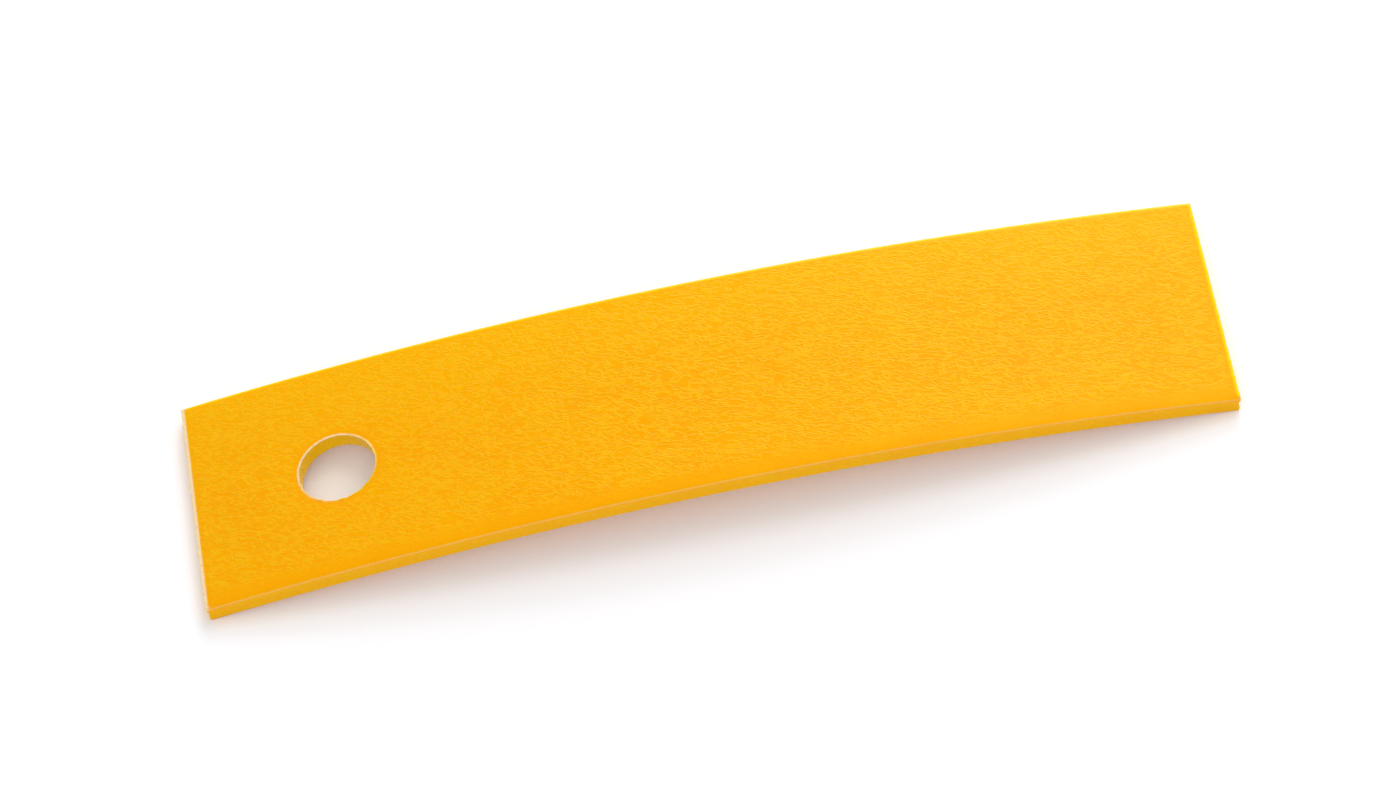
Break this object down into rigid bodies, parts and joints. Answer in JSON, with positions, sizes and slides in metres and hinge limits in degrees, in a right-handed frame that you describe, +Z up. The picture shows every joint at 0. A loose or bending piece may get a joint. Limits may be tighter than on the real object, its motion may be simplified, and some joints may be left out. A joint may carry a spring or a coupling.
{
  "type": "felling wedge",
  "caption": "Thin bowed plastic strip with square-cut ends and a round hanging hole, pushed into a saw cut to keep it open.",
  "frame": {"origin": "on the ground under the middle of the strip, which stands on the lower edges of its two ends with its hump up", "axes": "+X along the strip from the end with the hanging hole to the plain end, +Y across the strip, +Z up out of the hump"},
  "size_m": [0.2498, 0.0614, 0.0134],
  "materials": {
    "yellow_sheet": "satin moulded yellow, fine embossed grain on the top face, smooth sheared edges"
  },
  "bodies": {
    "root": {"wedge_strip": "yellow_sheet"}
  },
  "joints": []
}
